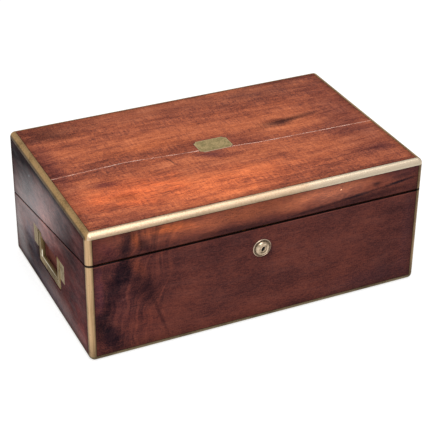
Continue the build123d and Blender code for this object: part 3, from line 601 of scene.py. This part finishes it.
# Pen section: a shelf behind the lock with a lift-out tray between two glass inkwells
inner_tones = [colour(84, 38, 26), colour(128, 66, 42), colour(150, 84, 56), colour(178, 108, 74)]
inner_finish = mahogany("inner_mahogany", inner_tones, shift=(2, 2, 6))
for node in ("pen_partition", "pen_shelf", "ink_dividers", "pen_tray"):
    dress(node, inner_finish)
dress("inkwell_caps", fitting_brass)
glass, shader, place = new_finish("inkwell_glass")
feed(shader, "Roughness", place.noise((40, 40, 40)) * 0.1)
shader.inputs["Transmission Weight"].default_value = 1.0
shader.inputs["Base Color"].default_value = colour(225, 238, 232)
dress("inkwells", glass)


def add_piece(name, mesh, *materials):
    """Make a finished bmesh a piece of its own, at the origin."""
    data = bpy.data.meshes.new(name)
    mesh.to_mesh(data)
    mesh.free()
    for material in materials:
        data.materials.append(material)
    piece = bpy.data.objects.new(name, data)
    bpy.context.scene.collection.objects.link(piece)
    return piece


# Ink: a little left in the foot of each bottle, drawn up where it meets the glass
weld = 1e-6
ink_radius = 0.0109
ink_floor = 0.0071
ink_depth = 0.0120
meniscus = 0.0009
bottle_half = 0.0190
pool_sides = 48
ink, shader, place = new_finish("ink")
feed(shader, "Roughness", 0.06 + place.noise((60, 60, 60)) * 0.06)
shader.inputs["Base Color"].default_value = colour(14, 14, 34)
low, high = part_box("inkwells")
for side, middle in (("left", low[0] + bottle_half), ("right", high[0] - bottle_half)):
    pool = bmesh.new()
    outline = [
        pool.verts.new(point) for point in (
            (0, 0, 0), (ink_radius, 0, 0), (ink_radius, 0, ink_depth + meniscus),
            (ink_radius - meniscus, 0, ink_depth + meniscus / 4), (ink_radius - 3 * meniscus, 0, ink_depth),
            (0, 0, ink_depth),
        )
    ]
    edges = [pool.edges.new(pair) for pair in zip(outline, outline[1:])]
    bmesh.ops.spin(
        pool, geom=outline + edges, cent=(0, 0, 0), axis=(0, 0, 1), angle=math.tau, steps=pool_sides,
        use_merge=True,
    )
    bmesh.ops.remove_doubles(pool, verts=pool.verts, dist=weld)
    bmesh.ops.recalc_face_normals(pool, faces=pool.faces)
    bmesh.ops.translate(pool, verts=pool.verts, vec=(middle, (low[1] + high[1]) / 2, low[2] + ink_floor))
    piece = add_piece(f"ink_{side}", pool, ink)
    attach(piece, "base")

# Writing flaps: two thin boards hung on rails. A skiver is glued tight into the face of each, and
# tooled round its border with a gilt line between two blind ones.
for half in ("base", "lid"):
    for part in ("flap", "flap_rail", "flap_bearers"):
        dress(f"{half}_{part}", inner_finish)
slack = 1e-5
leather_thickness = 0.0008
tooling = 0.00015
tool_width = 0.0008
blind_lines = (0.0070, 0.0115)
gilt_line = 0.0092
for half, body, face_turn in (("base", "upper_flap", 0.0), ("lid", "lower_flap", math.pi)):
    low, high = (Vector(corner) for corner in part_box(f"{half}_flap_leather"))
    width = high.x - low.x
    length = (high.y - low.y - leather_thickness * math.sin(slope)) / math.cos(slope)
    leather, shader, place = new_finish(f"{half}_leather")
    flat = place.node("ShaderNodeTexCoord", output="UV")
    across, down = flat.parts()[:2]
    inward = (width / 2 - across.size()).least(length / 2 - down.size())
    gilt = (inward - gilt_line).size().fade(tool_width * 0.65, tool_width * 0.4)
    gilt = gilt * flat.noise((700, 700, 700), 3.0, 0.6).fade(0.34, 0.46)
    rubs = flat.noise((9, 9, 9), 4.0, 0.6)
    stains = flat.noise((26, 26, 26), 4.0, 0.65).fade(0.56, 0.72)
    hide = rubs.fade(0.35, 0.7).choose(colour(26, 52, 38), colour(46, 82, 56))
    hide = (stains * 0.55).choose(hide, colour(30, 32, 24))
    hide = (inward.fade(0.0035, 0.0002) * 0.6).choose(hide, colour(22, 24, 18))
    feed(shader, "Base Color", gilt.choose(hide, colour(206, 168, 92)))
    feed(shader, "Metallic", gilt)
    feed(shader, "Roughness", 0.62 - rubs * 0.2 - gilt * 0.12)
    pebble = flat.noise((1100, 1100, 1100), 2.0, 0.6) + flat.noise((420, 420, 420), 2.0) * 0.6
    feed(shader, "Normal", raise_grain(pebble, 0.35, 0.0003))
    shader.inputs["Specular IOR Level"].default_value = 0.3
    skiver = bmesh.new()
    bmesh.ops.create_grid(skiver, x_segments=1, y_segments=1, size=0.5)
    bmesh.ops.scale(skiver, vec=(width, length, 1), verts=skiver.verts)
    for line in (*blind_lines, gilt_line):
        for offset in (-tool_width / 2, 0, tool_width / 2):
            for reach, normal in ((width / 2, Vector((1, 0, 0))), (length / 2, Vector((0, 1, 0)))):
                for side in (-1, 1):
                    bmesh.ops.bisect_plane(
                        skiver, geom=skiver.verts[:] + skiver.edges[:] + skiver.faces[:],
                        plane_co=normal * side * (reach - line - offset), plane_no=normal,
                    )
    for vertex in skiver.verts:
        margin = min(width / 2 - abs(vertex.co.x), length / 2 - abs(vertex.co.y))
        if any(abs(margin - line) < slack for line in (*blind_lines, gilt_line)):
            vertex.co.z -= tooling
    laid = skiver.loops.layers.uv.new("flat")
    for face in skiver.faces:
        for loop in face.loops:
            loop[laid].uv = loop.vert.co.xy
    bmesh.ops.translate(skiver, verts=skiver.verts, vec=(0, 0, leather_thickness / 2))
    tilt = Matrix.Rotation(face_turn - slope, 4, "X")
    bmesh.ops.transform(skiver, verts=skiver.verts, matrix=Matrix.Translation((low + high) / 2) @ tilt)
    piece = add_piece(f"{half}_flap_skiver", skiver, leather)
    backing = piece.modifiers.new("backing", "SOLIDIFY")
    backing.thickness = leather_thickness
    backing.offset = -1.0
    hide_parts(f"{half}_flap_leather")
    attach(piece, body)

# Lid top: one wide board, brighter orange towards the front and purple round its edges. It has
# shrunk and split from end to end, and the torn wood in the split is pale, partly its own colour and
# partly a painted highlight.
top_tones = [colour(88, 48, 43), colour(150, 80, 60), colour(187, 103, 70), colour(220, 128, 86)]
top_marks = strokes("top", [
    ((-0.150, -0.098), (0.060, -0.096), 0.080, colour(220, 114, 72), 0.75),
    ((-0.190, -0.072), (-0.110, -0.066), 0.070, colour(214, 106, 66), 0.75),
    ((-0.150, 0.030), (0.020, 0.015), 0.040, colour(196, 104, 62), 0.35),
    ((0.185, -0.140), (0.215, 0.140), 0.110, colour(116, 62, 54), 0.6),
    ((-0.220, 0.122), (0.220, 0.120), 0.060, colour(116, 66, 56), 0.5),
    ((-0.214, -0.080), (-0.214, 0.130), 0.040, plum, 0.6),
    ((-0.200, -0.130), (-0.130, -0.132), 0.030, plum, 0.5),
    ((-0.215, 0.116), (-0.150, 0.110), 0.050, stain, 0.6),
    ((0.084, 0.0210), (0.130, 0.0215), 0.022, stain, 0.75),
    ((0.110, 0.0225), (0.170, 0.0310), 0.014, stain, 0.55),
    ((-0.036, 0.010), (0.060, -0.010), 0.056, plum, 0.5),
    ((-0.034, -0.018), (0.010, -0.030), 0.022, plum, 0.85),
    ((-0.184, -0.040), (-0.150, -0.044), 0.020, plum, 0.8),
    ((-0.168, -0.080), (-0.140, -0.086), 0.020, stain, 0.5),
    ((-0.071, -0.009), (-0.064, -0.034), 0.004, stain, 0.6),
    ((0.120, -0.020), (0.220, -0.040), 0.030, plum, 0.4),
    ((0.190, -0.091), (0.208, -0.095), 0.022, plum, 0.6),
    ((0.060, 0.110), (0.200, 0.120), 0.060, colour(126, 76, 62), 0.4),
])
top_finish = mahogany(
    "top_mahogany", top_tones, shift=(0.4, 2, 0), marks=top_marks, figure=0.72, clouding=0.34,
    ripple=0.34, polish=0.2,
)

split_points = [
    (-0.224, -0.0041), (-0.122, 0.0005), (-0.055, -0.0062), (-0.027, -0.0090), (0.022, -0.0147),
    (0.055, -0.0184), (0.1227, -0.0210), (0.224, -0.0240),
]
split_depth = 0.0014
split_step = 0.0016
split_breadth = 0.0016
split_sway = 0.00010
chip_place = -0.0262
chip_size = 0.0016

# The split's section is a wedge, in shares of its breadth and depth
split_section = ((-0.05, 0.5), (1.0, 0.5), (0.0, -1.0))


def split_line(x):
    """How far back the split lies at this place along the board."""
    for (x0, y0), (x1, y1) in zip(split_points, split_points[1:]):
        if x <= x1:
            break
    return y0 + (y1 - y0) * (x - x0) / (x1 - x0)


draw = random.Random(5)
split_start, split_end = split_points[0][0], split_points[-1][0]
steps = round((split_end - split_start) / split_step)
wedge = bmesh.new()
corners = [wedge.verts.new((split_start, share, drop)) for share, drop in split_section]
profile = wedge.faces.new(corners)
grown = bmesh.ops.extrude_face_region(wedge, geom=[profile])["geom"]
far_corners = [part for part in grown if isinstance(part, bmesh.types.BMVert)]
bmesh.ops.translate(wedge, verts=far_corners, vec=(split_end - split_start, 0, 0))
long_edges = [edge for edge in wedge.edges if abs(edge.verts[0].co.x - edge.verts[1].co.x) > split_step]
bmesh.ops.subdivide_edges(wedge, edges=long_edges, cuts=steps - 1, use_grid_fill=True)
sway = [draw.uniform(-split_sway, split_sway) for step in range(steps + 1)]
breadths = [draw.uniform(0.8, 1.25) * split_breadth for step in range(steps + 1)]
board_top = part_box("lid_top")[1][2]
for vertex in wedge.verts:
    step = round((vertex.co.x - split_start) / split_step)
    wide = breadths[step] + chip_size * math.exp(-(((vertex.co.x - chip_place) / chip_size) ** 2))
    vertex.co.y = split_line(vertex.co.x) + sway[step] + vertex.co.y * wide
    vertex.co.z = board_top + vertex.co.z * split_depth
bmesh.ops.recalc_face_normals(wedge, faces=wedge.faces)
cutter = add_piece("split_cutter", wedge)
board = bmesh.new()
board.from_mesh(frame["nodes"]["lid_top"].data)
bmesh.ops.remove_doubles(board, verts=board.verts, dist=weld)
whole = add_piece("lid_top_whole", board)
cut = whole.modifiers.new("split", "BOOLEAN")
cut.object = cutter
cut.solver = "EXACT"
torn_board = bmesh.new()
torn_board.from_object(whole, bpy.context.evaluated_depsgraph_get())
bpy.data.objects.remove(whole)
bpy.data.objects.remove(cutter)
bmesh.ops.triangulate(torn_board, faces=torn_board.faces)
for face in torn_board.faces:
    middle = face.calc_center_median()
    near_split = abs(middle.y - split_line(middle.x)) < 3.5 * split_breadth
    below_face = board_top - split_depth * 1.01 < middle.z < board_top - slack
    face.material_index = 1 if near_split and below_face else 0
# Pale torn wood in the split, partly its own colour and partly a painted highlight
torn_wood_highlit, shader, place = new_finish("torn_wood_highlit")
fibre = place.noise((60, 900, 900), 3.0, 0.6)
feed(shader, "Base Color", fibre.fade(0.35, 0.65).choose(colour(186, 128, 108), colour(240, 200, 182)))
feed(shader, "Normal", raise_grain(fibre, 0.6, 0.0004))
shader.inputs["Roughness"].default_value = 0.85
piece = add_piece("split_lid_top", torn_board, top_finish, torn_wood_highlit)
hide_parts("lid_top")
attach(piece, "lid")

# Name plate: a thin brass plate with scooped corners, let in flush and never engraved. Polish has
# gone green in its pits, its border is rubbed pale and dirt fills the joint round it.
scoop = 0.0042
low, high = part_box("name_plate")
plate_brass, shader, place = new_finish("plate_brass")
x, y, _ = place.parts()
from_corner = place.spot((high[0], high[1], 0), (1, 1, right_through))
for corner in ((low[0], high[1], 0), (low[0], low[1], 0), (high[0], low[1], 0)):
    from_corner = from_corner.least(place.spot(corner, (1, 1, right_through)))
margin = (high[0] - x.size()).least(high[1] - y.size()).least(from_corner - scoop)
cloud = place.noise((120, 120, 120), 4.0, 0.65)
pits = place.noise((520, 520, 520), 3.0, 0.7)
metal = (cloud * 0.5 + pits * 0.5).fade(0.4, 0.6).choose(colour(198, 172, 122), colour(150, 134, 88))
metal = margin.fade(0.0016, 0.0010).choose(metal, colour(206, 180, 134))
metal = (y.fade(low[1] + 0.0026, low[1] + 0.0012) * 0.8).choose(metal, colour(222, 178, 150))
joint = margin.fade(0.0006, 0.0002)
metal = joint.choose(metal, colour(44, 28, 22))
feed(shader, "Base Color", metal)
feed(shader, "Metallic", 0.9 - joint * 0.9)
feed(shader, "Roughness", 0.44 + pits * 0.14)
feed(shader, "Normal", raise_grain(cloud + pits * 0.4, 0.35, 0.0003))
dress("name_plate", plate_brass)

# The photograph's view: from the front left and above, through a long lens
view_turn = math.radians(25.28)
view_drop = math.radians(30.88)
view_roll = math.radians(0.60)
view_aim = Vector((-0.0080, -0.0279, 0.0910))
view_distance = 1.809
view_lens = 114.87
camera_data = bpy.data.cameras.new("photograph")
camera_data.lens = view_lens
camera_data.sensor_width = 36.0
camera = bpy.data.objects.new("photograph", camera_data)
bpy.context.scene.collection.objects.link(camera)
stance = (
    Matrix.Rotation(-view_turn, 4, "Z")
    @ Matrix.Rotation(math.pi / 2 - view_drop, 4, "X")
    @ Matrix.Rotation(view_roll, 4, "Z")
)
camera.matrix_world = Matrix.Translation(view_aim) @ stance @ Matrix.Translation((0, 0, view_distance))
bpy.context.scene.camera = camera

# Studio: a pale floor that shows white, and soft lamps above
floor_reach = 12.0
floor_shown = 0.68
floor_in_polish = 0.45
air_light = 0.35
air_shown = 0.65
air_in_polish = 0.25
mesh = bmesh.new()
bmesh.ops.create_grid(mesh, x_segments=1, y_segments=1, size=floor_reach)
floor_mesh = bpy.data.meshes.new("floor")
mesh.to_mesh(floor_mesh)
mesh.free()
floor = bpy.data.objects.new("floor", floor_mesh)
bpy.context.scene.collection.objects.link(floor)
pale, shader, place = new_finish("pale_floor")
rays = place.node("ShaderNodeLightPath", output="Is Camera Ray")
glossy = place.node("ShaderNodeLightPath", output="Is Glossy Ray")
through = place.node("ShaderNodeLightPath", output="Is Transmission Ray")
shader.inputs["Base Color"].default_value = (0.55, 0.55, 0.55, 1)
shader.inputs["Roughness"].default_value = 1.0
shader.inputs["Specular IOR Level"].default_value = 0.0
shader.inputs["Emission Color"].default_value = (1, 1, 1, 1)
feed(shader, "Emission Strength", rays.most(through) * floor_shown + glossy * floor_in_polish)
floor_mesh.materials.append(pale)

world = bpy.data.worlds.new("studio")
world.use_nodes = True
bpy.context.scene.world = world
air = Wire(world.node_tree)
seen = air.node("ShaderNodeLightPath", output="Is Camera Ray").most(
    air.node("ShaderNodeLightPath", output="Is Transmission Ray")
)
shines = air.node("ShaderNodeLightPath", output="Is Glossy Ray")
sky = world.node_tree.nodes["Background"]
feed(sky, "Strength", air_light + seen * air_shown + shines * air_in_polish)
sky.inputs["Color"].default_value = (1, 1, 1, 1)

for name, at, size, power in (
    ("key", (-0.5, -1.5, 1.9), 1.4, 28.0),
    ("over", (0.1, -0.1, 2.0), 1.6, 14.0),
):
    lamp_data = bpy.data.lights.new(name, "AREA")
    lamp_data.size = size
    lamp_data.energy = power
    lamp = bpy.data.objects.new(name, lamp_data)
    bpy.context.scene.collection.objects.link(lamp)
    towards_box = (Vector(at) - view_aim).to_track_quat("Z", "Y")
    lamp.matrix_world = Matrix.Translation(at) @ towards_box.to_matrix().to_4x4()

bpy.context.scene.view_settings.view_transform = "Standard"
